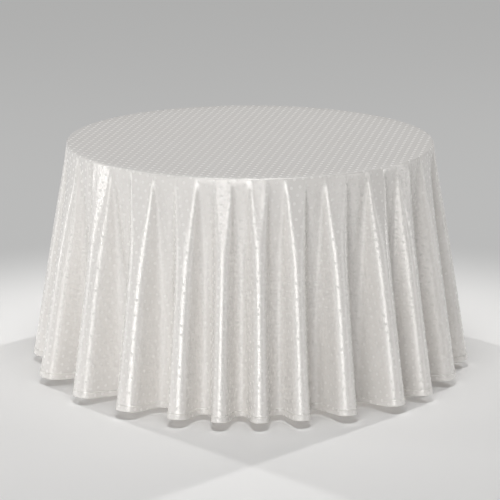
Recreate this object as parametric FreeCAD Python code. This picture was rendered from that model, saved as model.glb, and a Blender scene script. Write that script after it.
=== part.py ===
import FreeCAD, Part
import math
import os
from FreeCAD import Vector

os.makedirs("parts", exist_ok=True)

# A floor-length round tablecloth over a round banquet table with folding steel legs.
# Millimetres, +Z up, origin on the floor under the middle of the table. The front is -Y, and left is -X.

# Table top
table_height = 762.0         # floor to the top of the bare board
table_radius = 600.0         # outside of the edge moulding
board_thickness = 18.0
moulding_wall = 3.0          # how far the edge moulding stands outside the board
moulding_round = 2.0         # rounding of its two outer edges
tongue_depth = 9.0           # its tongue, in a groove round the board's edge
tongue_thickness = 2.0

# Cleats, the wooden battens that carry the leg brackets
cleat_width = 60.0
cleat_half_length = 320.0
cleat_corner = 12.0

# Leg sets: what both have
pivot_x = 380.0              # fold axes, either side of the middle
splay = math.radians(6.0)    # legs lean outwards, so that weight holds them on their stops
leg_radius = 14.0
leg_wall = 1.5
pivot_radius = 12.5
pivot_wall = 2.0
stretcher_radius = 11.0
pivot_below_cleat = 18.0
cap_radius = 17.0
cap_height = 30.0
sole_thickness = 4.0

# Pivot brackets and stay anchors, bent from plate
bracket_plate = 3.0
ear_thickness = 4.0
ear_radius = 20.0
ear_beside_leg = 2.0
bracket_length = 60.0
bracket_depth = 34.0
anchor_radius = 12.0
anchor_length = 64.0
anchor_depth = 30.0
tube_end_beyond_ear = 6.0
running_gap = 0.05           # radial clearance of every pin and pivot
side_gap = 0.3               # clearance between faces that slide past each other

# Elbow stays: straight when the legs stand, doubled up when the legs are folded
anchor_inboard = 340.0       # from the fold axis to the stay's pin on the table
pin_down_leg = 300.0         # from the fold axis to the stay's pin on the leg
strap_thickness = 3.0
strap_half_width = 10.0
rivet_radius = 4.0
rivet_head_radius = 7.0
rivet_head = 2.0
head_beside_leg = 1.2
pin_beside_leg = 0.6

# Fasteners
screw_radius = 2.2
screw_head_radius = 4.5
screw_head = 2.4
screw_in_wood = 12.0
screw_from_plate_end = 10.0
cleat_screw_in_board = 11.0
cleat_screw_from_end = 12.0

# Tablecloth
cloth_radius_at_rim = 602.0
cloth_under = 0.3            # air between the cloth and the board
cloth_thickness = 1.6
fold_count = 24
hem_crest_radius = 709.0
hem_valley_radius = 607.0
hem_height = 30.0            # bottom of the hem above the floor
hem_width = 20.0
hem_extra = 0.6              # the doubled hem stands this much proud of the cloth on each side
points_per_fold = 6

board_under = table_height - board_thickness
board_radius = table_radius - moulding_wall
cloth_top = table_height + cloth_under + cloth_thickness

# The left set folds first, close under the board. The right set folds in under it.
leg_sets = {
    "left": {"side": -1, "cleat": 16.0, "leg_y": 250.0, "stretcher_at": 330.0, "stay_side": 1},
    "right": {"side": 1, "cleat": 52.0, "leg_y": 210.0, "stretcher_at": 420.0, "stay_side": -1},
}
ends = {"front": -1, "rear": 1}


def save(name, shape):
    shape.exportStep("parts/" + name + ".step")


def group(shapes):
    return Part.makeCompound(shapes)


def rod(start, end, radius):
    path = end - start
    return Part.makeCylinder(radius, path.Length, start, path)


def tube(start, end, radius, wall):
    return rod(start, end, radius).cut(rod(start, end, radius - wall))


def box(low, high):
    size = high - low
    return Part.makeBox(size.x, size.y, size.z, low)


def block_y(x0, x1, y0, y1, z0, z1):
    """A box whose two y values may come in either order."""
    return box(Vector(x0, min(y0, y1), z0), Vector(x1, max(y0, y1), z1))


def rod_y(x, z, y0, y1, radius):
    """A rod along Y whose two y values may come in either order."""
    return rod(Vector(x, min(y0, y1), z), Vector(x, max(y0, y1), z), radius)


def above(height):
    reach = 2 * table_radius
    return box(Vector(-reach, -reach, height), Vector(reach, reach, 2 * table_height))


def screw(x, y, face, length):
    """Pan-head screw driven upwards, with its head under the given face."""
    head = rod(Vector(x, y, face - screw_head), Vector(x, y, face), screw_head_radius)
    shank = rod(Vector(x, y, face), Vector(x, y, face + length), screw_radius)
    return head.fuse(shank).removeSplitter()


def sunk_screw(x, y, face, length):
    """Countersunk screw driven upwards, with its head flush with the given face."""
    head = Part.makeCone(screw_head_radius, screw_radius, screw_head, Vector(x, y, face))
    shank = rod(Vector(x, y, face + screw_head), Vector(x, y, face + length), screw_radius)
    return head.fuse(shank).removeSplitter()


# Measures of one leg set that follow from the ones above

def cleat_bottom(leg_set):
    return board_under - leg_set["cleat"]


def pivot_z(leg_set):
    return cleat_bottom(leg_set) - pivot_below_cleat


def leg_x(leg_set, along):
    return leg_set["side"] * (pivot_x + along * math.sin(splay))


def leg_z(leg_set, along):
    return pivot_z(leg_set) - along * math.cos(splay)


def leg_length(leg_set):
    return pivot_z(leg_set) / math.cos(splay)


def leg_point(leg_set, along, end):
    return Vector(leg_x(leg_set, along), end * leg_set["leg_y"], leg_z(leg_set, along))


def ear_inner_y(leg_set):
    return leg_set["leg_y"] + leg_radius + ear_beside_leg


def stay_y(leg_set, end, off_leg):
    """Y of a plane that lies off_leg clear of the tube's side, on the side where the stays are."""
    return end * (leg_set["leg_y"] + leg_set["stay_side"] * (leg_radius + off_leg))


def anchor_x(leg_set):
    return leg_set["side"] * (pivot_x - anchor_inboard)


# The two straps of a stay add up to the distance between its outer pins when the legs stand,
# and differ by the distance between the same pins when the legs are folded.
lean = math.pi / 2 + splay
reach_open = math.sqrt(
    anchor_inboard ** 2 + pin_down_leg ** 2 - 2 * anchor_inboard * pin_down_leg * math.cos(lean)
)
reach_folded = anchor_inboard - pin_down_leg
upper_length = (reach_open + reach_folded) / 2

# Layers of the stay joints, counted outwards from the side of the leg tube
lower_face = head_beside_leg + rivet_head + side_gap
upper_face = lower_face + strap_thickness + side_gap
ear_face = upper_face + strap_thickness + side_gap
ear_back = ear_face + bracket_plate


def elbow(leg_set):
    """X and Z of the elbow, on the straight line between the two outer pins."""
    share = upper_length / reach_open
    x = anchor_x(leg_set) + share * (leg_x(leg_set, pin_down_leg) - anchor_x(leg_set))
    z = pivot_z(leg_set) + share * (leg_z(leg_set, pin_down_leg) - pivot_z(leg_set))
    return x, z


def strap(start, finish, y0, y1, bore):
    """Flat bar with round ends between two pin centres, bored for its pins."""
    low = min(y0, y1)
    depth = abs(y1 - y0)
    a = Vector(start[0], low, start[1])
    b = Vector(finish[0], low, finish[1])
    across = (b - a).cross(Vector(0, 1, 0)).normalize() * strap_half_width
    beyond = (b - a).normalize() * strap_half_width
    edges = [
        Part.LineSegment(a + across, b + across).toShape(),
        Part.Arc(b + across, b + beyond, b - across).toShape(),
        Part.LineSegment(b - across, a - across).toShape(),
        Part.Arc(a - across, a - beyond, a + across).toShape(),
    ]
    bar = Part.Face(Part.Wire(edges)).extrude(Vector(0, depth, 0))
    for x, z in (start, finish):
        bar = bar.cut(rod_y(x, z, low, low + depth, bore))
    return bar


# Tablecloth: a flat round top and a skirt whose folds deepen evenly from the rim to the hem

def cloth_section(height, inset):
    """Closed curve of the skirt at a height, moved inwards along its own normal by inset."""
    share = (cloth_top - height) / (cloth_top - hem_height)
    middle = (hem_crest_radius + hem_valley_radius) / 2
    depth = share * (hem_crest_radius - hem_valley_radius) / 2
    mean = cloth_radius_at_rim + share * (middle - cloth_radius_at_rim)
    count = fold_count * points_per_fold
    points = []
    for index in range(count):
        angle = 2 * math.pi * index / count
        radius = mean + depth * math.cos(fold_count * angle)
        slope = -depth * fold_count * math.sin(fold_count * angle)
        along_x = slope * math.cos(angle) - radius * math.sin(angle)
        along_y = slope * math.sin(angle) + radius * math.cos(angle)
        length = math.hypot(along_x, along_y)
        x = radius * math.cos(angle) - inset * along_y / length
        y = radius * math.sin(angle) + inset * along_x / length
        points.append(Vector(x, y, height))
    curve = Part.BSplineCurve()
    curve.interpolate(Points=points, PeriodicFlag=True)
    return Part.Wire(curve.toShape())


def cloth_solid(top, bottom, inset):
    """Everything inside the skirt between two heights."""
    return Part.makeLoft([cloth_section(bottom, inset), cloth_section(top, inset)], True, True)


def make_tablecloth():
    hem_top = hem_height + hem_width
    outside = cloth_solid(cloth_top, hem_top, 0.0)
    inside = cloth_solid(table_height + cloth_under, hem_top - 1.0, cloth_thickness)
    save("tablecloth", outside.cut(inside))
    band = cloth_solid(hem_top, hem_height, -hem_extra)
    hollow = cloth_solid(hem_top + 1.0, hem_height - 1.0, cloth_thickness + hem_extra)
    save("hem_band", band.cut(hollow))


# Table top

def make_edge_moulding():
    """Plastic strip of T section turned round the board, its tongue pressed into the groove."""
    low = board_under
    middle = (board_under + table_height) / 2
    round_centre = table_radius - moulding_round
    diagonal = moulding_round * math.sqrt(0.5)

    def at(radius, height):
        return Vector(radius, 0, height)

    corner_low = at(round_centre + diagonal, low + moulding_round - diagonal)
    corner_high = at(round_centre + diagonal, table_height - moulding_round + diagonal)
    tongue_radius = board_radius - tongue_depth
    tongue_low = middle - tongue_thickness / 2
    tongue_high = middle + tongue_thickness / 2
    edges = [
        Part.LineSegment(at(board_radius, low), at(round_centre, low)).toShape(),
        Part.Arc(at(round_centre, low), corner_low, at(table_radius, low + moulding_round)).toShape(),
        Part.LineSegment(
            at(table_radius, low + moulding_round), at(table_radius, table_height - moulding_round)
        ).toShape(),
        Part.Arc(
            at(table_radius, table_height - moulding_round), corner_high, at(round_centre, table_height)
        ).toShape(),
        Part.LineSegment(at(round_centre, table_height), at(board_radius, table_height)).toShape(),
        Part.LineSegment(at(board_radius, table_height), at(board_radius, tongue_high)).toShape(),
        Part.LineSegment(at(board_radius, tongue_high), at(tongue_radius, tongue_high)).toShape(),
        Part.LineSegment(at(tongue_radius, tongue_high), at(tongue_radius, tongue_low)).toShape(),
        Part.LineSegment(at(tongue_radius, tongue_low), at(board_radius, tongue_low)).toShape(),
        Part.LineSegment(at(board_radius, tongue_low), at(board_radius, low)).toShape(),
    ]
    section = Part.Face(Part.Wire(edges))
    return section.revolve(Vector(0, 0, 0), Vector(0, 0, 1), 360)


def make_cleat(leg_set):
    middle = leg_set["side"] * pivot_x
    low = Vector(middle - cleat_width / 2, -cleat_half_length, cleat_bottom(leg_set))
    high = Vector(middle + cleat_width / 2, cleat_half_length, board_under)
    cleat = box(low, high)
    upright = [
        edge for edge in cleat.Edges
        if abs(edge.Vertexes[0].Point.z - edge.Vertexes[1].Point.z) > leg_set["cleat"] / 2
    ]
    return cleat.makeChamfer(cleat_corner, upright)


def cleat_screws(leg_set):
    x = leg_set["side"] * pivot_x
    face = cleat_bottom(leg_set)
    length = leg_set["cleat"] + cleat_screw_in_board
    spread = cleat_half_length - cleat_screw_from_end
    return [sunk_screw(x, y, face, length) for y in (-spread, -spread / 3, spread / 3, spread)]


def make_pivot_bracket(leg_set, end):
    """Bent plate: a foot under the cleat and an ear with the bore that the pivot tube turns in."""
    x = leg_set["side"] * pivot_x
    z = pivot_z(leg_set)
    face = cleat_bottom(leg_set)
    ear_y = end * ear_inner_y(leg_set)
    ear_out = ear_y + end * ear_thickness
    foot_out = ear_y + end * bracket_depth
    half = bracket_length / 2
    foot = block_y(x - half, x + half, ear_y, foot_out, face - bracket_plate, face)
    neck = block_y(x - ear_radius, x + ear_radius, ear_y, ear_out, z, face)
    disc = rod_y(x, z, ear_y, ear_out, ear_radius).cut(above(face))
    bore = rod_y(x, z, ear_y, ear_out, pivot_radius + running_gap)
    return foot.fuse([neck, disc]).cut(bore).removeSplitter()


def bracket_screws(leg_set):
    x = leg_set["side"] * pivot_x
    face = cleat_bottom(leg_set) - bracket_plate
    y = ear_inner_y(leg_set) + (bracket_depth + ear_thickness) / 2
    reach = bracket_length / 2 - screw_from_plate_end
    length = bracket_plate + screw_in_wood
    return [
        screw(x + dx, end * y, face, length)
        for end in ends.values()
        for dx in (-reach, reach)
    ]


def make_stay_anchor(leg_set, end):
    """Bent plate: a foot under the board and an ear that carries the upper stay's pin."""
    x = anchor_x(leg_set)
    z = pivot_z(leg_set)
    ear_y = stay_y(leg_set, end, ear_face)
    ear_out = stay_y(leg_set, end, ear_back)
    foot_out = stay_y(leg_set, end, ear_face + anchor_depth)
    half = anchor_length / 2
    foot = block_y(x - half, x + half, ear_y, foot_out, board_under - bracket_plate, board_under)
    neck = block_y(x - anchor_radius, x + anchor_radius, ear_y, ear_out, z, board_under)
    disc = rod_y(x, z, ear_y, ear_out, anchor_radius)
    hole = rod_y(x, z, ear_y, ear_out, rivet_radius)
    return foot.fuse([neck, disc]).cut(hole).removeSplitter()


def anchor_screws(leg_set):
    x = anchor_x(leg_set)
    face = board_under - bracket_plate
    reach = anchor_length / 2 - screw_from_plate_end
    length = bracket_plate + screw_in_wood
    return [
        screw(x + dx, stay_y(leg_set, end, ear_face + anchor_depth / 2), face, length)
        for end in ends.values()
        for dx in (-reach, reach)
    ]


def anchor_rivet(leg_set, end):
    """Pin fixed in the anchor's ear, headed at both ends, that the upper stay turns on."""
    x = anchor_x(leg_set)
    z = pivot_z(leg_set)
    inner = upper_face - side_gap
    shank = rod_y(x, z, stay_y(leg_set, end, inner), stay_y(leg_set, end, ear_back), rivet_radius)
    near = rod_y(
        x, z, stay_y(leg_set, end, inner - rivet_head), stay_y(leg_set, end, inner), rivet_head_radius
    )
    far = rod_y(
        x, z, stay_y(leg_set, end, ear_back), stay_y(leg_set, end, ear_back + rivet_head), rivet_head_radius
    )
    return shank.fuse([near, far]).removeSplitter()


# Leg sets

def make_pivot_tube(leg_set):
    x = leg_set["side"] * pivot_x
    z = pivot_z(leg_set)
    half = ear_inner_y(leg_set) + ear_thickness + tube_end_beyond_ear
    return tube(Vector(x, -half, z), Vector(x, half, z), pivot_radius, pivot_wall)


def make_leg(leg_set, end):
    """Tube from the pivot tube, whose round it is notched to fit, down into its foot cap."""
    top = leg_point(leg_set, 0, end)
    bottom = leg_point(leg_set, leg_length(leg_set) + cap_height, end)
    leg = tube(top, bottom, leg_radius, leg_wall).common(above(sole_thickness))
    half = ear_inner_y(leg_set)
    return leg.cut(rod_y(top.x, top.z, -half, half, pivot_radius))


def make_stretcher(leg_set):
    """Cross tube between the two legs, notched to fit their rounds."""
    near = leg_point(leg_set, leg_set["stretcher_at"], -1)
    far = leg_point(leg_set, leg_set["stretcher_at"], 1)
    cross = tube(near, far, stretcher_radius, leg_wall)
    for end in ends.values():
        top = leg_point(leg_set, 0, end)
        bottom = leg_point(leg_set, leg_length(leg_set), end)
        cross = cross.cut(rod(top, bottom, leg_radius))
    return cross


def make_foot_cap(leg_set, end):
    """Rubber cup on the end of a leg, with a sole that is flat on the floor."""
    length = leg_length(leg_set)
    top = leg_point(leg_set, length - cap_height, end)
    bottom = leg_point(leg_set, length + cap_height, end)
    outside = rod(top, bottom, cap_radius).common(above(0))
    inside = rod(top, bottom, leg_radius).common(above(sole_thickness))
    return outside.cut(inside)


# Stays

def make_upper_stay(leg_set, end):
    start = (anchor_x(leg_set), pivot_z(leg_set))
    y0 = stay_y(leg_set, end, upper_face)
    y1 = stay_y(leg_set, end, upper_face + strap_thickness)
    return strap(start, elbow(leg_set), y0, y1, rivet_radius + running_gap)


def make_lower_stay(leg_set, end):
    finish = (leg_x(leg_set, pin_down_leg), leg_z(leg_set, pin_down_leg))
    y0 = stay_y(leg_set, end, lower_face)
    y1 = stay_y(leg_set, end, lower_face + strap_thickness)
    return strap(elbow(leg_set), finish, y0, y1, rivet_radius + running_gap)


def elbow_rivet(leg_set, end):
    """Headed pin that goes with the upper stay and carries the lower one."""
    x, z = elbow(leg_set)
    inner = lower_face - side_gap
    outer = upper_face + strap_thickness
    shank = rod_y(x, z, stay_y(leg_set, end, inner), stay_y(leg_set, end, outer), rivet_radius)
    near = rod_y(
        x, z, stay_y(leg_set, end, inner - rivet_head), stay_y(leg_set, end, inner), rivet_head_radius
    )
    far = rod_y(
        x, z, stay_y(leg_set, end, outer), stay_y(leg_set, end, outer + rivet_head), rivet_head_radius
    )
    return shank.fuse([near, far]).removeSplitter()


def leg_pin(leg_set, end):
    """Shouldered pin, flush with the lower stay, whose end stands just off the leg's side."""
    x = leg_x(leg_set, pin_down_leg)
    z = leg_z(leg_set, pin_down_leg)
    outer = lower_face + strap_thickness
    shank = rod_y(x, z, stay_y(leg_set, end, lower_face), stay_y(leg_set, end, outer), rivet_radius)
    shoulder = rod_y(
        x, z, stay_y(leg_set, end, pin_beside_leg), stay_y(leg_set, end, lower_face), rivet_head_radius
    )
    return shank.fuse(shoulder).removeSplitter()


make_tablecloth()

board = rod(Vector(0, 0, board_under), Vector(0, 0, table_height), board_radius)
moulding = make_edge_moulding()
save("edge_moulding", moulding)
board = board.cut(moulding)

for name, leg_set in leg_sets.items():
    into_cleat = bracket_screws(leg_set)
    through_cleat = cleat_screws(leg_set)
    into_board = anchor_screws(leg_set)
    save("bracket_screws_" + name, group(into_cleat))
    save("cleat_screws_" + name, group(through_cleat))
    save("anchor_screws_" + name, group(into_board))
    save("cleat_" + name, make_cleat(leg_set).cut(group(into_cleat + through_cleat)))
    board = board.cut(group(through_cleat + into_board))
    save("pivot_tube_" + name, make_pivot_tube(leg_set))
    save("stretcher_" + name, make_stretcher(leg_set))
    for end_name, end in ends.items():
        place = name + "_" + end_name
        save("pivot_bracket_" + place, make_pivot_bracket(leg_set, end).cut(group(into_cleat)))
        save("stay_anchor_" + place, make_stay_anchor(leg_set, end).cut(group(into_board)))
        save("leg_" + place, make_leg(leg_set, end))
        save("foot_cap_" + place, make_foot_cap(leg_set, end))
        save("upper_stay_" + place, make_upper_stay(leg_set, end))
        save("lower_stay_" + place, make_lower_stay(leg_set, end))
    save("anchor_rivets_" + name, group([anchor_rivet(leg_set, end) for end in ends.values()]))
    save("elbow_rivets_" + name, group([elbow_rivet(leg_set, end) for end in ends.values()]))
    save("leg_pins_" + name, group([leg_pin(leg_set, end) for end in ends.values()]))

save("top_board", board)
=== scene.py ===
import math
import bpy
import numpy as np
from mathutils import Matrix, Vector


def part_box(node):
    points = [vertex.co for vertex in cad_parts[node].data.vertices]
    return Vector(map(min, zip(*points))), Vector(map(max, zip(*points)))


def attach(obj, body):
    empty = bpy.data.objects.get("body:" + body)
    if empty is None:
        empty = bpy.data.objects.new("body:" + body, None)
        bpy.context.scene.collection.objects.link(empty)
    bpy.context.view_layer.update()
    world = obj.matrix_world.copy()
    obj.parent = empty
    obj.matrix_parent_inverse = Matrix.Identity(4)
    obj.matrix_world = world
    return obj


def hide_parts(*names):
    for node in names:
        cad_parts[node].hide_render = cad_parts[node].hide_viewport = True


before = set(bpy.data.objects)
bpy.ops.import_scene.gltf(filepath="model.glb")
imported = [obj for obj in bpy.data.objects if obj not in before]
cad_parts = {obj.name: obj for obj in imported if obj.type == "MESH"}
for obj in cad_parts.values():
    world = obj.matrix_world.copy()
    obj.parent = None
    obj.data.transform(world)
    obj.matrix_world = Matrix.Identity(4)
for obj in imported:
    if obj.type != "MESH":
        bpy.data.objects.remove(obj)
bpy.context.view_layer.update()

boardLow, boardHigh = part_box("top_board")
edgeLow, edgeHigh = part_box("edge_moulding")
hemLow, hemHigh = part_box("hem_band")


def newObject(name, verts, *faceLists):
    # a smooth-shaded object at the origin, from an array of points and arrays of faces
    mesh = bpy.data.meshes.new(name)
    faces = [face for faceList in faceLists for face in faceList.tolist()]
    mesh.from_pydata(verts.reshape(-1, 3).tolist(), [], faces)
    mesh.polygons.foreach_set("use_smooth", np.full(len(mesh.polygons), True))
    mesh.update()
    piece = bpy.data.objects.new(name, mesh)
    bpy.context.scene.collection.objects.link(piece)
    return piece


def gridFaces(rows, columns, start=0):
    # quads of a grid whose columns close on themselves, facing outwards when rows run down the outside
    index = np.arange(rows * columns).reshape(rows, columns) + start
    a, d = index[:-1], index[1:]
    b, e = np.roll(a, -1, axis=1), np.roll(d, -1, axis=1)
    return np.stack([a, d, e, b], axis=-1).reshape(-1, 4)


def fanFaces(columns):
    # triangles from point 0 to the first ring of a grid that starts at point 1
    ring = np.arange(columns) + 1
    return np.stack([np.zeros(columns, int), ring, np.roll(ring, -1)], axis=-1)


def addUv(piece, uvOfVertex):
    loops = np.empty(len(piece.data.loops), dtype=np.int32)
    piece.data.loops.foreach_get("vertex_index", loops)
    layer = piece.data.uv_layers.new(name="UVMap")
    layer.data.foreach_set("uv", uvOfVertex[loops].astype(np.float32).reshape(-1))


cloth = {
    "cutRadius": 1.346,         # finished radius of the flat round cloth
    "thickness": 0.0006,
    "edgeRound": 0.005,         # radius of the bend over the table's edge
    "offEdge": 0.0022,          # cloth outside the edge moulding
    "offBoard": 0.0012,         # and above the board
    "around": 720,              # faces round the cloth
    "rings": 46,                # and down the skirt
    "topRings": 13,             # and across the flat top
    "bendRings": 5,
    # crest of each fold, degrees from the front towards the right
    "crests": [-92, -70, -50, -33, -18, -7.5, 2.5, 13, 25.5, 41, 52, 68, 86,
               101, 118, 131, 146, 162, 174, 187, 203, 217, 232, 249],
    "crestOut": 0.118,          # how far the crests stand outside the rim at the hem
    "crestUneven": 0.009,       # more or less of that from fold to fold
    "crestSwell": 0.004,        # how far the cloth stands off just under the rim
    "swellWithin": 0.015,       # depth in which most of that is reached
    "clipSharpness": 2.8,       # how tightly crests and valleys turn into the folds' sides
    "tipRound": 0.985,          # below 1 rounds the triangle wave's points
    "sidesStart": (0.015, 0.055),   # depth below the rim at which the folds' sides start
    "leastSide": 0.06,          # share of a fold that is side where the sides start
    "sideGain": 0.66,           # what the sides gain below it
    "sidesGrow": 0.14,          # the sides get two thirds of that gain in this depth
    "roundHem": 0.20,           # and give back this share towards the hem, where crests are round
    "widthPower": 0.75,         # how much deeper wide folds are than narrow ones
    "lean": 0.30,               # how much the folds' sides overhang at the hem
    "slack": 0.985,             # share of the cloth's girth that the folds take up
    "foldsFrom": 0.035,         # depth below the rim at which the folds take up all of it
    "unevenness": 0.10,         # more or less of a fold's depth from fold to fold
    "seed": 7,
}

# the fabric and how it is held while it settles
drape = {
    "crestPart": 0.2,           # share of a ring's in-and-out that counts as crest
    "crestHold": 0.3,           # how firmly the crests keep their places
    "frames": 45,
    "quality": 6,
    "collisionQuality": 2,
    "mass": 0.3,
    "air": 5,
    "stretch": 15,
    "shear": 5,
    "bending": 8.0,
    "damping": 5,
    "bendingDamping": 0.5,
    "gap": 0.001,               # cloth to table while they touch
    "friction": 5,
}

rimRadius = edgeHigh.x + cloth["offEdge"]
clothTop = boardHigh.z + cloth["offBoard"]
sideTop = clothTop - cloth["edgeRound"]
topLength = rimRadius - cloth["edgeRound"] + cloth["edgeRound"] * math.pi / 2
skirtLength = cloth["cutRadius"] - topLength


def foldPhase(samples):
    # phase that grows by one from each crest to the next, blurred so that widths change gently
    crests = np.radians(np.array(cloth["crests"], float))
    turn = 2 * math.pi
    angle = crests[0] + turn * np.arange(samples) / samples
    edges = np.append(crests, crests[0] + turn)
    phase = np.interp(angle, edges, np.arange(len(edges)))
    steady = len(crests) * (angle - crests[0]) / turn
    reach = samples // 36       # ten degrees to each side
    spread = reach / 3.3        # about three degrees
    kernel = np.exp(-0.5 * (np.arange(-reach, reach + 1) / spread) ** 2)
    kernel /= kernel.sum()
    extra = phase - steady
    blurred = np.convolve(np.concatenate([extra[-reach:], extra, extra[:reach]]), kernel, mode="valid")
    return angle, steady + blurred


planSamples = 7200              # points of a ring before it is cut into equal lengths


def planRing(depth, crest, below, lean, count):
    # one closed ring seen from above, cut into equal lengths: its x, its y and its length. Between
    # crests and valleys the radius is a triangle wave, softly clipped to flat tops. The sides start
    # narrow below the rim and widen downwards, and a second harmonic leans them over
    angle, phase = foldPhase(planSamples)
    width = np.gradient(angle, phase)
    random = np.random.default_rng(cloth["seed"])
    folds = len(cloth["crests"])
    uneven = 1 + cloth["unevenness"] * random.uniform(-1, 1, folds)
    uneven = np.interp(phase, np.arange(folds + 1), np.append(uneven, uneven[0]))
    starts = random.uniform(*cloth["sidesStart"], 2 * folds)
    start = starts[np.floor(2 * phase).astype(int) % (2 * folds)]
    grown = 1 - np.exp(-np.clip(below - start, 0, None) / cloth["sidesGrow"])
    share = cloth["leastSide"] + cloth["sideGain"] * grown
    share = share - cloth["roundHem"] * (below / skirtLength) ** 2
    tip = cloth["tipRound"]
    triangle = np.arcsin(tip * np.cos(2 * math.pi * phase)) / math.asin(tip)
    wave = triangle / share
    sharp = cloth["clipSharpness"]
    wave = wave / (1 + np.abs(wave) ** sharp) ** (1 / sharp)
    wave = wave / (1 + share ** -sharp) ** (-1 / sharp) * share
    deep = depth * (width / width.mean()) ** cloth["widthPower"] * uneven
    reach = random.uniform(-1, 1, folds)
    reach = np.interp(phase, np.arange(folds + 1), np.append(reach, reach[0]))
    crest = crest + cloth["crestUneven"] * reach * below / skirtLength
    radius = crest - deep * (1 - wave) / 2
    turned = angle + lean * width * np.sin(4 * math.pi * phase) / (4 * math.pi)
    x, y = radius * np.sin(turned), -radius * np.cos(turned)
    x, y = np.append(x, x[0]), np.append(y, y[0])
    along = np.concatenate([[0], np.cumsum(np.hypot(np.diff(x), np.diff(y)))])
    want = np.arange(count) / count * along[-1]
    return np.interp(want, along, x), np.interp(want, along, y), along[-1]


deepestFold = 0.4               # the search for a ring's depth starts between 0 and this
halvings = 24


def startShape():
    # the skirt before it settles: each ring gets folds deep enough to take up its length in the flat
    # cloth, found by halving, and each meridian drops by what is left of its own length
    around, rings = cloth["around"], cloth["rings"]
    step = skirtLength / rings
    shape = np.zeros((rings + 1, around, 3))
    for ring in range(rings + 1):
        share = ring / rings
        below = ring * step
        swell = cloth["crestSwell"] * (1 - math.exp(-below / cloth["swellWithin"]))
        crest = rimRadius + cloth["crestOut"] * share + swell
        taken = min(1, below / cloth["foldsFrom"])
        plain = 2 * math.pi * crest
        goal = plain + max(0.0, 2 * math.pi * (topLength + below) * cloth["slack"] - plain) * taken
        lean = cloth["lean"] * share
        low, high = 0.0, deepestFold
        for _ in range(halvings):
            middle = (low + high) / 2
            if planRing(middle, crest, below, lean, around)[2] < goal:
                low = middle
            else:
                high = middle
        shape[ring, :, 0], shape[ring, :, 1], _ = planRing(low, crest, below, lean, around)
    shape[0, :, :2] *= rimRadius / np.hypot(shape[0, :, 0], shape[0, :, 1])[:, None]
    sideways = np.linalg.norm(np.diff(shape[:, :, :2], axis=0), axis=-1)
    drop = np.sqrt(np.clip(step ** 2 - sideways ** 2, (step / 2) ** 2, None))
    shape[0, :, 2] = sideTop
    shape[1:, :, 2] = sideTop - np.cumsum(drop, axis=0)
    return shape


def flatAngles():
    start = math.radians(cloth["crests"][0])
    return start + 2 * math.pi * np.arange(cloth["around"]) / cloth["around"]


def flatRings(radii):
    # rings of the flat cloth, in its own plane
    angle = flatAngles()
    return np.stack([radii[:, None] * np.sin(angle), -radii[:, None] * np.cos(angle)], axis=-1)


def settle(shape):
    # the skirt falls under its own weight with its flat cut as its rest shape. It is held at the rim,
    # and loosely along the crests from a quarter of the way down
    rings, around = shape.shape[:2]
    piece = newObject("skirtSim", shape, gridFaces(rings, around))
    flat = np.zeros_like(shape)
    flat[:, :, :2] = flatRings(topLength + np.linspace(0, skirtLength, rings))
    piece.shape_key_add(name="Basis")
    key = piece.shape_key_add(name="flat")
    key.data.foreach_set("co", flat.reshape(-1))
    pin = piece.vertex_groups.new(name="pin")
    pin.add(list(range(around)), 1.0, "REPLACE")
    outward = np.hypot(shape[:, :, 0], shape[:, :, 1])
    nearest, furthest = outward.min(axis=1, keepdims=True), outward.max(axis=1, keepdims=True)
    isCrest = outward > furthest - drape["crestPart"] * (furthest - nearest)
    for ring in range(rings // 4, rings):
        held = np.flatnonzero(isCrest[ring]) + ring * around
        pin.add(held.tolist(), drape["crestHold"], "REPLACE")

    # the table's edge as an open ring of C section, for the skirt to lie against
    sides = 240
    angle = np.linspace(0, 2 * math.pi, sides, endpoint=False)
    radius = edgeHigh.x - drape["gap"]
    inner = 0.9 * radius
    radii = np.array([inner, radius, radius, inner])[:, None]
    heights = np.array([boardHigh.z, boardHigh.z, boardLow.z, boardLow.z])[:, None] * np.ones(sides)
    edge = np.stack([radii * np.sin(angle), -radii * np.cos(angle), heights], axis=-1)
    table = newObject("edgeSim", edge, gridFaces(4, sides))
    table.modifiers.new("hit", "COLLISION")
    table.collision.thickness_outer = drape["gap"]
    table.collision.cloth_friction = drape["friction"]

    modifier = piece.modifiers.new("cloth", "CLOTH")
    fabric = modifier.settings
    fabric.quality = drape["quality"]
    fabric.mass = drape["mass"]
    fabric.air_damping = drape["air"]
    fabric.tension_stiffness = fabric.compression_stiffness = drape["stretch"]
    fabric.shear_stiffness = drape["shear"]
    fabric.bending_stiffness = drape["bending"]
    fabric.tension_damping = fabric.compression_damping = fabric.shear_damping = drape["damping"]
    fabric.bending_damping = drape["bendingDamping"]
    fabric.vertex_group_mass = "pin"
    fabric.rest_shape_key = key
    modifier.collision_settings.distance_min = drape["gap"]
    modifier.collision_settings.collision_quality = drape["collisionQuality"]
    modifier.point_cache.frame_end = drape["frames"] + 5
    scene = bpy.context.scene
    for frameNumber in range(1, drape["frames"] + 1):
        scene.frame_set(frameNumber)
    solved = piece.evaluated_get(bpy.context.evaluated_depsgraph_get())
    result = np.empty(len(solved.data.vertices) * 3)
    solved.data.vertices.foreach_get("co", result)
    for old in (piece, table):
        bpy.data.objects.remove(old, do_unlink=True)
    scene.frame_set(1)
    return result.reshape(shape.shape)


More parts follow.
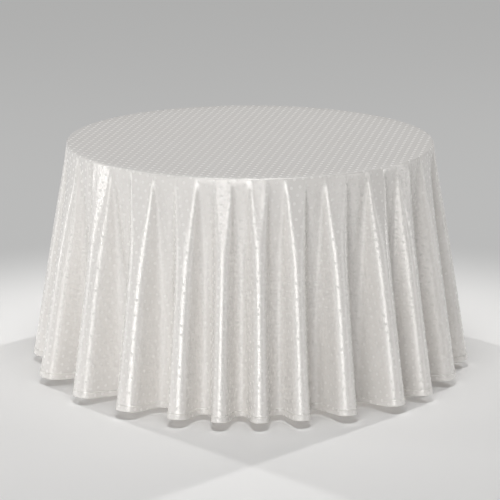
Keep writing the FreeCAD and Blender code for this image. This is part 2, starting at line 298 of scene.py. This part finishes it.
def clothPiece(skirt):
    # flat top, a quarter bend over the table's edge, then the settled skirt
    around = cloth["around"]
    angle = flatAngles()
    bend = cloth["edgeRound"]
    flatEnd = rimRadius - bend
    discRadii = flatEnd * np.linspace(0, 1, cloth["topRings"] + 1)[1:]
    bendTurn = np.linspace(0, math.pi / 2, cloth["bendRings"] + 2)[1:-1]
    radii = np.concatenate([discRadii, flatEnd + bend * np.sin(bendTurn)])
    heights = np.concatenate([np.full(len(discRadii), clothTop), clothTop - bend * (1 - np.cos(bendTurn))])
    cutRadii = np.concatenate([discRadii, flatEnd + bend * bendTurn])
    top = np.zeros((len(radii), around, 3))
    top[:, :, 0] = radii[:, None] * np.sin(angle)
    top[:, :, 1] = -radii[:, None] * np.cos(angle)
    top[:, :, 2] = heights[:, None]
    verts = np.concatenate([[[0, 0, clothTop]], top.reshape(-1, 3), skirt.reshape(-1, 3)])
    quads = gridFaces(len(radii) + len(skirt), around, 1)
    piece = newObject("satin_cloth", verts, fanFaces(around), quads)
    cut = np.concatenate([cutRadii, topLength + np.linspace(0, skirtLength, len(skirt))])
    addUv(piece, np.concatenate([[[0, 0]], flatRings(cut).reshape(-1, 2)]))
    return piece


def gridNormals(rows):
    # outward normals of a grid whose columns close on themselves
    down = np.gradient(rows, axis=0)
    across = np.roll(rows, -1, axis=1) - np.roll(rows, 1, axis=1)
    normal = np.cross(down, across)
    return normal / np.linalg.norm(normal, axis=-1, keepdims=True)


def rowsAt(skirt, fromHem):
    # rows of the skirt at distances above the hem, measured along the cloth
    place = (skirtLength - np.asarray(fromHem)) / skirtLength * (len(skirt) - 1)
    low = np.clip(np.floor(place).astype(int), 0, len(skirt) - 2)
    share = (place - low)[:, None, None]
    return skirt[low] * (1 - share) + skirt[low + 1] * share


hem = {
    "width": 0.020,
    "thickness": 0.0021,        # three layers of cloth and the air between them
    "topEdge": 0.55,            # share of the half thickness left at the turned-up edge
    "stitchRow": 0.0172,        # above the bottom
    "stitches": 2000,
    "stitch": 0.0030,           # length of one
    "thread": 0.00035,          # its radius
    "rows": 6,                  # of points down each face of the strip
}


def hemPiece(skirt):
    # the turned-up edge: a closed strip round the cloth's last rows, half the thickness to each side
    # of them, with a lower edge turned through half a circle
    half = hem["thickness"] / 2
    flatRows = np.linspace(hem["width"], half, hem["rows"])
    middle = rowsAt(skirt, np.concatenate([flatRows, [0]]))
    normal = gridNormals(middle)[:-1]
    down = middle[-1] - middle[-2]
    down = down / np.linalg.norm(down, axis=-1, keepdims=True)
    middle = middle[:-1]
    face = np.full(len(flatRows), half)
    face[0] = hem["topEdge"] * half
    outer = middle + normal * face[:, None, None]
    inner = (middle - normal * face[:, None, None])[::-1]
    turns = np.radians([45, 90, 135])[:, None, None]
    edge = middle[-1] + half * (np.cos(turns) * normal[-1] + np.sin(turns) * down)
    rows = np.concatenate([outer, edge, inner])
    around = rows.shape[1]
    quads = gridFaces(len(rows), around)
    last = (len(rows) - 1) * around + np.arange(around)
    first = np.arange(around)
    seam = np.stack([last, first, np.roll(first, -1), np.roll(last, -1)], axis=-1)
    piece = newObject("cloth_hem", rows, quads, seam)
    cut = cloth["cutRadius"] - np.concatenate([flatRows, [half / 2, 0, half / 2], flatRows[::-1]])
    addUv(piece, flatRings(cut).reshape(-1, 2))
    return piece


def hemStitches(skirt):
    # a row of machine stitches on the outside, each a five-sided spindle: rings of points round a
    # short line along the hem, thin at both ends
    beside = 0.002              # rows above and below the stitches, for the cloth's slope there
    rows = rowsAt(skirt, [hem["stitchRow"] + beside, hem["stitchRow"], hem["stitchRow"] - beside])
    normals = gridNormals(rows)[1]
    line = rows[1]
    place = np.arange(hem["stitches"]) / hem["stitches"] * len(line)
    low = np.floor(place).astype(int)
    high = (low + 1) % len(line)
    share = (place - low)[:, None]
    centre = line[low] * (1 - share) + line[high] * share
    normal = normals[low] * (1 - share) + normals[high] * share
    along = line[high] - line[low]
    along /= np.linalg.norm(along, axis=-1, keepdims=True)
    side = np.cross(normal, along)
    centre = centre + normal * hem["thickness"] / 2
    sides = 5
    turn = np.arange(sides) / sides * 2 * math.pi
    around = np.cos(turn)[None, :, None] * normal[:, None] + np.sin(turn)[None, :, None] * side[:, None]
    spindle = ((-0.5, 0.3), (-0.25, 1.0), (0.25, 1.0), (0.5, 0.3))     # place along it, and thickness
    parts = []
    for shift, radius in spindle:
        ringCentre = centre + along * shift * hem["stitch"]
        parts.append(ringCentre[:, None] + around * radius * hem["thread"])
    verts = np.stack(parts, axis=1)
    size = len(spindle) * sides
    first = size * np.arange(len(centre))[:, None, None]
    faces = (gridFaces(len(spindle), sides)[:, ::-1][None] + first).reshape(-1, 4)
    caps = np.array([np.arange(sides), size - 1 - np.arange(sides)])
    ends = (caps[None] + first).reshape(-1, sides)
    return newObject("hem_stitching", verts, faces, ends)


def material(name):
    mat = bpy.data.materials.new(name)
    mat.use_nodes = True
    return mat, mat.node_tree, mat.node_tree.nodes["Principled BSDF"]


def mathNode(tree, operation, first, second=None, third=None):
    node = tree.nodes.new("ShaderNodeMath")
    node.operation = operation
    for socket, value in zip(node.inputs, (first, second, third)):
        if value is None:
            continue
        if isinstance(value, (int, float)):
            socket.default_value = value
        else:
            tree.links.new(value, socket)
    return node.outputs[0]


def noise(tree, vector, scale, detail=2.0):
    node = tree.nodes.new("ShaderNodeTexNoise")
    node.inputs["Scale"].default_value = scale
    node.inputs["Detail"].default_value = detail
    tree.links.new(vector, node.inputs["Vector"])
    return node.outputs[0]


def ramp(tree, value, low, high, toLow=0.0, toHigh=1.0, kind="LINEAR"):
    node = tree.nodes.new("ShaderNodeMapRange")
    node.interpolation_type = kind
    node.inputs["From Min"].default_value = low
    node.inputs["From Max"].default_value = high
    node.inputs["To Min"].default_value = toLow
    node.inputs["To Max"].default_value = toHigh
    tree.links.new(value, node.inputs["Value"])
    return node.outputs[0]


def blend(tree, factor, first, second, kind="MIX"):
    # each colour is a tuple or a socket
    node = tree.nodes.new("ShaderNodeMix")
    node.data_type = "RGBA"
    node.blend_type = kind
    for socket, value in (("A", first), ("B", second)):
        if isinstance(value, tuple):
            node.inputs[socket].default_value = (*value, 1)
        else:
            tree.links.new(value, node.inputs[socket])
    tree.links.new(factor, node.inputs["Factor"])
    return node.outputs["Result"]


def bumpOf(tree, shader, height, strength, distance):
    node = tree.nodes.new("ShaderNodeBump")
    node.inputs["Strength"].default_value = strength
    node.inputs["Distance"].default_value = distance
    tree.links.new(height, node.inputs["Height"])
    tree.links.new(node.outputs[0], shader.inputs["Normal"])


def objectPlace(tree, scale=(1, 1, 1)):
    where = tree.nodes.new("ShaderNodeTexCoord")
    stretch = tree.nodes.new("ShaderNodeMapping")
    stretch.inputs["Scale"].default_value = scale
    tree.links.new(where.outputs["Object"], stretch.inputs["Vector"])
    return stretch.outputs[0]


def newGroup(name, inputs, outputs):
    group = bpy.data.node_groups.new(name, "ShaderNodeTree")
    for socket, kind, value in inputs:
        made = group.interface.new_socket(socket, in_out="INPUT", socket_type=kind)
        if value is not None:
            made.default_value = value
    for socket, kind in outputs:
        group.interface.new_socket(socket, in_out="OUTPUT", socket_type=kind)
    return group, group.nodes.new("NodeGroupInput"), group.nodes.new("NodeGroupOutput")


def useGroup(tree, group, links, **values):
    node = tree.nodes.new("ShaderNodeGroup")
    node.node_tree = group
    for name, value in values.items():
        node.inputs[name].default_value = value
    for name, source in links.items():
        tree.links.new(source, node.inputs[name])
    return node


jacquard = {
    "pitch": 0.0278,            # dot to dot along a row
    "dotRadius": 0.0044,
    "dotBlur": 0.12,            # share of the radius to each side in which a dot's edge fades
    "turn": 10.5,               # degrees from the front-to-back line to the rows
    "ground": (0.816, 0.798, 0.775),
    "dot": (0.787, 0.773, 0.756),
    "mottle": (0.972, 0.963, 0.95),     # what both colours are multiplied by where the mottle is full
    "mottleScale": 5.0,
    "groundRoughness": 0.27,
    "dotRoughness": 0.62,
    "groundMetallic": 0.17,
    "thread": 0.00055,          # pitch of the weave's ribs
    "ribRise": 0.35,            # heights of the two sets of ribs and of the dots
    "weftRise": 0.15,
    "dotRise": 0.8,
    "relief": (0.16, 0.0002),   # strength and height of the bump
}


def jacquardGroup():
    # soft-edged dots in a triangular lattice, and the ribs of the weave between them. The lattice is
    # two rectangular ones of cells the root of three pitches by one pitch, the second shifted by half
    # a cell both ways, and the nearer centre counts
    group, given, out = newGroup("jacquardDots", [("Cut", "NodeSocketVector", None)],
                                 [("Dot", "NodeSocketFloat"), ("Height", "NodeSocketFloat")])
    cell = (jacquard["pitch"] * math.sqrt(3), jacquard["pitch"])
    rotate = group.nodes.new("ShaderNodeMapping")
    rotate.inputs["Rotation"].default_value[2] = math.radians(jacquard["turn"])
    shrink = group.nodes.new("ShaderNodeMapping")
    shrink.inputs["Scale"].default_value = (1 / cell[0], 1 / cell[1], 1)
    group.links.new(given.outputs["Cut"], rotate.inputs["Vector"])
    group.links.new(rotate.outputs[0], shrink.inputs["Vector"])
    split = group.nodes.new("ShaderNodeSeparateXYZ")
    group.links.new(shrink.outputs[0], split.inputs[0])
    distances = []
    for shift in (0.0, 0.5):
        across = []
        for axis, size in enumerate(cell):
            moved = mathNode(group, "ADD", split.outputs[axis], shift)
            centred = mathNode(group, "SUBTRACT", mathNode(group, "FRACT", moved), 0.5)
            metres = mathNode(group, "MULTIPLY", centred, size)
            across.append(mathNode(group, "MULTIPLY", metres, metres))
        distances.append(mathNode(group, "SQRT", mathNode(group, "ADD", *across)))
    nearest = mathNode(group, "MINIMUM", *distances)
    outside = jacquard["dotRadius"] * (1 + jacquard["dotBlur"])
    inside = jacquard["dotRadius"] * (1 - jacquard["dotBlur"])
    dot = ramp(group, nearest, outside, inside)
    group.links.new(dot, out.inputs["Dot"])
    rises = []
    for axis, rise in ((0, jacquard["ribRise"]), (1, jacquard["weftRise"])):
        turns = 2 * math.pi * cell[axis] / jacquard["thread"]
        wave = mathNode(group, "SINE", mathNode(group, "MULTIPLY", split.outputs[axis], turns))
        rises.append(mathNode(group, "MULTIPLY", wave, rise))
    weave = mathNode(group, "ADD", *rises)
    raised = mathNode(group, "MULTIPLY_ADD", dot, jacquard["dotRise"], weave)
    group.links.new(raised, out.inputs["Height"])
    return group


dotsGroup = jacquardGroup()


def satinMaterial():
    # a glossy ground with duller dots, laid out in the flat cloth's own coordinates
    mat, tree, shader = material("satin_jacquard")
    uv = tree.nodes.new("ShaderNodeUVMap")
    uv.uv_map = "UVMap"
    dots = useGroup(tree, dotsGroup, {"Cut": uv.outputs[0]})
    colour = blend(tree, dots.outputs["Dot"], jacquard["ground"], jacquard["dot"])
    mottle = noise(tree, uv.outputs[0], jacquard["mottleScale"], 3.0)
    toned = blend(tree, mottle, colour, jacquard["mottle"], "MULTIPLY")
    tree.links.new(toned, shader.inputs["Base Color"])
    for socket, ground, dot in (("Roughness", jacquard["groundRoughness"], jacquard["dotRoughness"]),
                                ("Metallic", jacquard["groundMetallic"], 0.0)):
        tree.links.new(ramp(tree, dots.outputs["Dot"], 0.0, 1.0, ground, dot), shader.inputs[socket])
    bumpOf(tree, shader, dots.outputs["Height"], *jacquard["relief"])
    shader.inputs["Specular IOR Level"].default_value = 0.6
    shader.inputs["Sheen Weight"].default_value = 0.15
    return mat


def threadMaterial():
    mat, tree, shader = material("hem_thread")
    tone = blend(tree, noise(tree, objectPlace(tree), 900.0), (0.82, 0.79, 0.73), (0.70, 0.67, 0.60))
    tree.links.new(tone, shader.inputs["Base Color"])
    shader.inputs["Roughness"].default_value = 0.55
    return mat


wood = {
    "driftScale": 3.0,          # of the slow noise that bends the bands
    "drift": 0.9,
    "bands": 42.0,              # radians a metre, before the material's stretch
    "fibreScale": 60.0,
    "bandShare": 0.5,           # of the way from the pale colour to the dark one
    "fibreShare": 0.6,
    "roughness": (0.50, 0.68),
    "relief": (0.25, 0.0004),   # strength and height of the bump
}
wear = {
    "markScale": 9.0,
    "marks": (0.35, 0.7),       # noise values between which a mark comes up
    "height": 0.0002,           # of the surface grain
}
zinc = {
    "tones": ((0.46, 0.47, 0.49), (0.53, 0.54, 0.55)),
    "roughness": (0.42, 0.50),
    "metallic": 0.95,
    "grain": 500.0,
    "relief": (0.03, 0.0002),
}


def grainGroup():
    # annual rings cut lengthways: bands bent by slow noise, and fine fibres along them
    group, given, out = newGroup("woodGrain", [("Place", "NodeSocketVector", None)],
                                 [("Rings", "NodeSocketFloat"), ("Fibre", "NodeSocketFloat")])
    place = given.outputs["Place"]
    split = group.nodes.new("ShaderNodeSeparateXYZ")
    group.links.new(place, split.inputs[0])
    drift = noise(group, place, wood["driftScale"])
    across = mathNode(group, "MULTIPLY_ADD", drift, wood["drift"], split.outputs[1])
    bands = mathNode(group, "SINE", mathNode(group, "MULTIPLY", across, wood["bands"]))
    group.links.new(ramp(group, bands, -1.0, 1.0), out.inputs["Rings"])
    group.links.new(noise(group, place, wood["fibreScale"], 4.0), out.inputs["Fibre"])
    return group


def wearGroup():
    # slow handling marks and a fine surface grain
    group, given, out = newGroup("wear", [("Place", "NodeSocketVector", None),
                                          ("Fineness", "NodeSocketFloat", 400.0)],
                                 [("Marks", "NodeSocketFloat"), ("Grain", "NodeSocketFloat")])
    slow = noise(group, given.outputs["Place"], wear["markScale"], 5.0)
    group.links.new(ramp(group, slow, *wear["marks"]), out.inputs["Marks"])
    fine = group.nodes.new("ShaderNodeTexNoise")
    fine.inputs["Detail"].default_value = 2.0
    group.links.new(given.outputs["Place"], fine.inputs["Vector"])
    group.links.new(given.outputs["Fineness"], fine.inputs["Scale"])
    group.links.new(fine.outputs[0], out.inputs["Grain"])
    return group


woodGroup, markGroup = grainGroup(), wearGroup()


def woodMaterial(name, pale, dark, stretch):
    # stretch is how much finer the pattern is along x, y and z: least along the grain
    mat, tree, shader = material(name)
    grain = useGroup(tree, woodGroup, {"Place": objectPlace(tree, stretch)})
    fibre = grain.outputs["Fibre"]
    bands = mathNode(tree, "MULTIPLY", grain.outputs["Rings"], wood["bandShare"])
    darkness = mathNode(tree, "MULTIPLY_ADD", fibre, wood["fibreShare"], bands)
    tree.links.new(blend(tree, darkness, pale, dark), shader.inputs["Base Color"])
    tree.links.new(ramp(tree, fibre, 0.3, 0.7, *wood["roughness"]), shader.inputs["Roughness"])
    bumpOf(tree, shader, fibre, *wood["relief"])
    return mat


def coatMaterial(name, base, worn, rough, fineness, relief, metallic=0.0):
    # enamel, plastic, rubber or bare metal: base colour with handling marks, and a fine surface grain
    mat, tree, shader = material(name)
    coat = useGroup(tree, markGroup, {"Place": objectPlace(tree)}, Fineness=fineness)
    marks = coat.outputs["Marks"]
    tree.links.new(blend(tree, marks, base, worn), shader.inputs["Base Color"])
    tree.links.new(ramp(tree, marks, 0.0, 1.0, *rough), shader.inputs["Roughness"])
    shader.inputs["Metallic"].default_value = metallic
    bumpOf(tree, shader, coat.outputs["Grain"], relief, wear["height"])
    return mat


def zincMaterial(name, cell):
    # spangled zinc: crystals of slightly different tone and gloss
    mat, tree, shader = material(name)
    place = objectPlace(tree)
    crystals = tree.nodes.new("ShaderNodeTexVoronoi")
    crystals.inputs["Scale"].default_value = 1 / cell
    tree.links.new(place, crystals.inputs["Vector"])
    chance = tree.nodes.new("ShaderNodeSeparateXYZ")
    tree.links.new(crystals.outputs["Color"], chance.inputs[0])
    tree.links.new(blend(tree, chance.outputs[0], *zinc["tones"]), shader.inputs["Base Color"])
    tree.links.new(ramp(tree, chance.outputs[1], 0.0, 1.0, *zinc["roughness"]), shader.inputs["Roughness"])
    shader.inputs["Metallic"].default_value = zinc["metallic"]
    bumpOf(tree, shader, noise(tree, place, zinc["grain"]), *zinc["relief"])
    return mat


# coats: base colour, worn colour, roughness from and to, fineness of the grain, relief, metallic
looks = {
    "top_board": woodMaterial("birch_plywood", (0.66, 0.49, 0.31), (0.45, 0.29, 0.16), (1, 9, 9)),
    "cleat": woodMaterial("pine_cleat", (0.62, 0.43, 0.24), (0.42, 0.25, 0.12), (12, 1.2, 12)),
    "edge_moulding": coatMaterial("brown_vinyl", (0.075, 0.05, 0.036), (0.10, 0.07, 0.052),
                                  (0.42, 0.52), 700, 0.15),
    "leg": coatMaterial("grey_enamel", (0.20, 0.205, 0.21), (0.235, 0.24, 0.245),
                        (0.34, 0.44), 900, 0.20),
    "foot_cap": coatMaterial("black_rubber", (0.022, 0.022, 0.023), (0.045, 0.044, 0.043),
                             (0.62, 0.80), 800, 0.30),
    "bracket": zincMaterial("zinc_bracket", 0.004),
    "stay": zincMaterial("zinc_stay", 0.006),
    "rivet": coatMaterial("rivet_steel", (0.50, 0.50, 0.51), (0.40, 0.39, 0.38),
                          (0.28, 0.42), 1500, 0.10, 1.0),
    "screw": coatMaterial("screw_steel", (0.58, 0.56, 0.50), (0.45, 0.42, 0.36),
                          (0.25, 0.40), 1500, 0.10, 1.0),
}
# the first of these words that is in a node's name says its look
lookOf = (("screws", "screw"), ("rivets", "rivet"), ("pins", "rivet"), ("foot_cap", "foot_cap"),
          ("cleat", "cleat"), ("bracket", "bracket"), ("anchor", "bracket"), ("stay", "stay"),
          ("leg", "leg"), ("tube", "leg"), ("stretcher", "leg"), ("top_board", "top_board"),
          ("edge_moulding", "edge_moulding"))
for name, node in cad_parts.items():
    key = next((look for part, look in lookOf if part in name), None)
    if key:
        node.data.materials.clear()
        node.data.materials.append(looks[key])
print("materials of the table", len(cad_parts))


view = {
    "distance": 7.0,            # in front of the table's middle
    "height": 2.19,
    "pitch": 14.45,             # degrees below level
    "lens": 156.17,             # millimetres, as is the sensor
    "sensor": 36,
}


def makeCamera():
    camera = bpy.data.objects.new("camera", bpy.data.cameras.new("camera"))
    camera.data.lens = view["lens"]
    camera.data.sensor_width = view["sensor"]
    camera.location = (0, -view["distance"], view["height"])
    camera.rotation_euler = (math.radians(90 - view["pitch"]), 0, 0)
    bpy.context.scene.collection.objects.link(camera)
    bpy.context.scene.camera = camera


# each lamp: place, width, height, watts, aimed at, shows as a highlight on glossy pieces
lamps = {
    "backLeft": ((-3.7, 3.6, 4.0), 0.22, 0.22, 115, (0, 0, 0.4), False),
    "backRight": ((3.7, 3.6, 4.0), 0.22, 0.22, 140, (0, 0, 0.4), False),
    "frontLeft": ((-4.4, -3.0, 1.2), 1.0, 2.2, 28, (0, 0, 0.4), False),
    "frontHigh": ((-2.2, -7.7, 1.4), 4.4, 1.6, 174, (0, 0, 0.2), False),
    "sideLeft": ((-5.0, 0.3, 1.6), 1.2, 2.2, 36, (0, 0, 0.5), False),
    "sideRight": ((5.0, 0.3, 1.6), 1.2, 2.2, 24, (0, 0, 0.5), False),
    "over": ((0, -1.0, 5.0), 2.0, 2.0, 112, (0, 0, 0.3), True),
    "frontStrip": ((-1.2, -7.8, 0.52), 4.6, 0.9, 82, (0, 0, 0.5), True),
    "stripRight": ((4.4, -2.6, 0.52), 0.16, 0.9, 5.5, (0, 0, 0.5), True),
    "stripLeft": ((-2.9, -5.4, 0.52), 0.12, 0.9, 2.6, (0, 0, 0.5), True),
    "edgeLeft": ((-5.0, 0.3, 0.52), 0.5, 0.9, 13, (0, 0, 0.5), True),
    "edgeRight": ((5.0, 0.3, 0.52), 0.3, 0.9, 7.5, (0, 0, 0.5), True),
    "under": ((0, 0, 0.55), 0.6, 0.6, 3, (0, 0.001, 0), False),
}
studio = {
    "sky": 0.08,                # strength of the light from all round
    "backdrop": 0.52,           # and of the same sky where it is looked at directly
    "skyColour": (0.80, 0.80, 0.80),
    "floorColour": (0.795, 0.789, 0.780),
    "farColour": (0.08, 0.08, 0.08),
    "paleForward": (0, 0.5, 0),     # the pale part's middle lies this far in front of the table
    "paleTo": 1.35,             # metres from there
    "darkFrom": 2.3,
    "farGlow": 0.42,            # painted light: the far floor glows instead of being lit, so that it takes no shadows
    "glowColour": (1, 1, 0.99),
    "floorRoughness": 0.85,
    "floorRadii": [1.0, 3.0, 8.0, 40.0],
    "floorSides": 96,
}


def makeLamps():
    for name, (place, width, height, watts, aim, seen) in lamps.items():
        light = bpy.data.lights.new(name, "AREA")
        light.shape = "RECTANGLE"
        light.size, light.size_y, light.energy = width, height, watts
        lamp = bpy.data.objects.new(name, light)
        lamp.location = place
        lamp.rotation_euler = (Vector(aim) - Vector(place)).to_track_quat("-Z", "Y").to_euler()
        lamp.visible_camera = False
        lamp.visible_glossy = seen
        bpy.context.scene.collection.objects.link(lamp)


def makeSky():
    world = bpy.data.worlds.new("studio")
    world.use_nodes = True
    tree = world.node_tree
    background = tree.nodes["Background"]
    background.inputs["Color"].default_value = (*studio["skyColour"], 1)
    ray = tree.nodes.new("ShaderNodeLightPath")
    strength = ramp(tree, ray.outputs["Is Camera Ray"], 0, 1, studio["sky"], studio["backdrop"])
    tree.links.new(strength, background.inputs["Strength"])
    bpy.context.scene.world = world


def floorMaterial():
    # pale round the table, and dark but glowing further out, where the glow is painted light in place of
    # lamp light
    mat, tree, shader = material("studio_floor")
    where = tree.nodes.new("ShaderNodeTexCoord")
    moved = tree.nodes.new("ShaderNodeVectorMath")
    moved.inputs[1].default_value = studio["paleForward"]
    length = tree.nodes.new("ShaderNodeVectorMath")
    length.operation = "LENGTH"
    tree.links.new(where.outputs["Object"], moved.inputs[0])
    tree.links.new(moved.outputs[0], length.inputs[0])
    far = ramp(tree, length.outputs["Value"], studio["paleTo"], studio["darkFrom"], kind="SMOOTHSTEP")
    colour = blend(tree, far, studio["floorColour"], studio["farColour"])
    tree.links.new(colour, shader.inputs["Base Color"])
    glow = mathNode(tree, "MULTIPLY", far, studio["farGlow"])
    tree.links.new(glow, shader.inputs["Emission Strength"])
    shader.inputs["Emission Color"].default_value = (*studio["glowColour"], 1)
    shader.inputs["Roughness"].default_value = studio["floorRoughness"]
    shader.inputs["Specular IOR Level"].default_value = 0.0
    return mat


def makeFloor():
    radii, sides = np.array(studio["floorRadii"])[:, None], studio["floorSides"]
    angle = np.linspace(0, 2 * math.pi, sides, endpoint=False)
    rings = np.stack([radii * np.sin(angle), -radii * np.cos(angle), np.zeros((len(radii), sides))], axis=-1)
    verts = np.concatenate([[[0, 0, 0]], rings.reshape(-1, 3)])
    floor = newObject("floor", verts, fanFaces(sides), gridFaces(len(radii), sides, 1))
    floor.data.materials.append(floorMaterial())


makeCamera()
makeLamps()
makeSky()
makeFloor()
bpy.context.scene.view_settings.view_transform = "Standard"
print("camera and studio")

skirt = startShape()
skirt = settle(skirt)
hemHeight = skirt[-1, :, 2]
hemOut = np.hypot(skirt[-1, :, 0], skirt[-1, :, 1])
print("skirt", hemHeight.min(), hemHeight.max(), hemOut.min(), hemOut.max())

satin = clothPiece(skirt)
satinLook = satinMaterial()
satin.data.materials.append(satinLook)
wall = satin.modifiers.new("thickness", "SOLIDIFY")
wall.thickness = cloth["thickness"]
wall.offset = -1
hemStrip = hemPiece(skirt)
hemStrip.data.materials.append(satinLook)
stitching = hemStitches(skirt)
stitching.data.materials.append(threadMaterial())
for piece in (satin, hemStrip, stitching):
    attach(piece, "tablecloth")
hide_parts("tablecloth")
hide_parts("hem_band")
for piece in (satin, hemStrip, stitching):
    print(piece.name, len(piece.data.polygons))
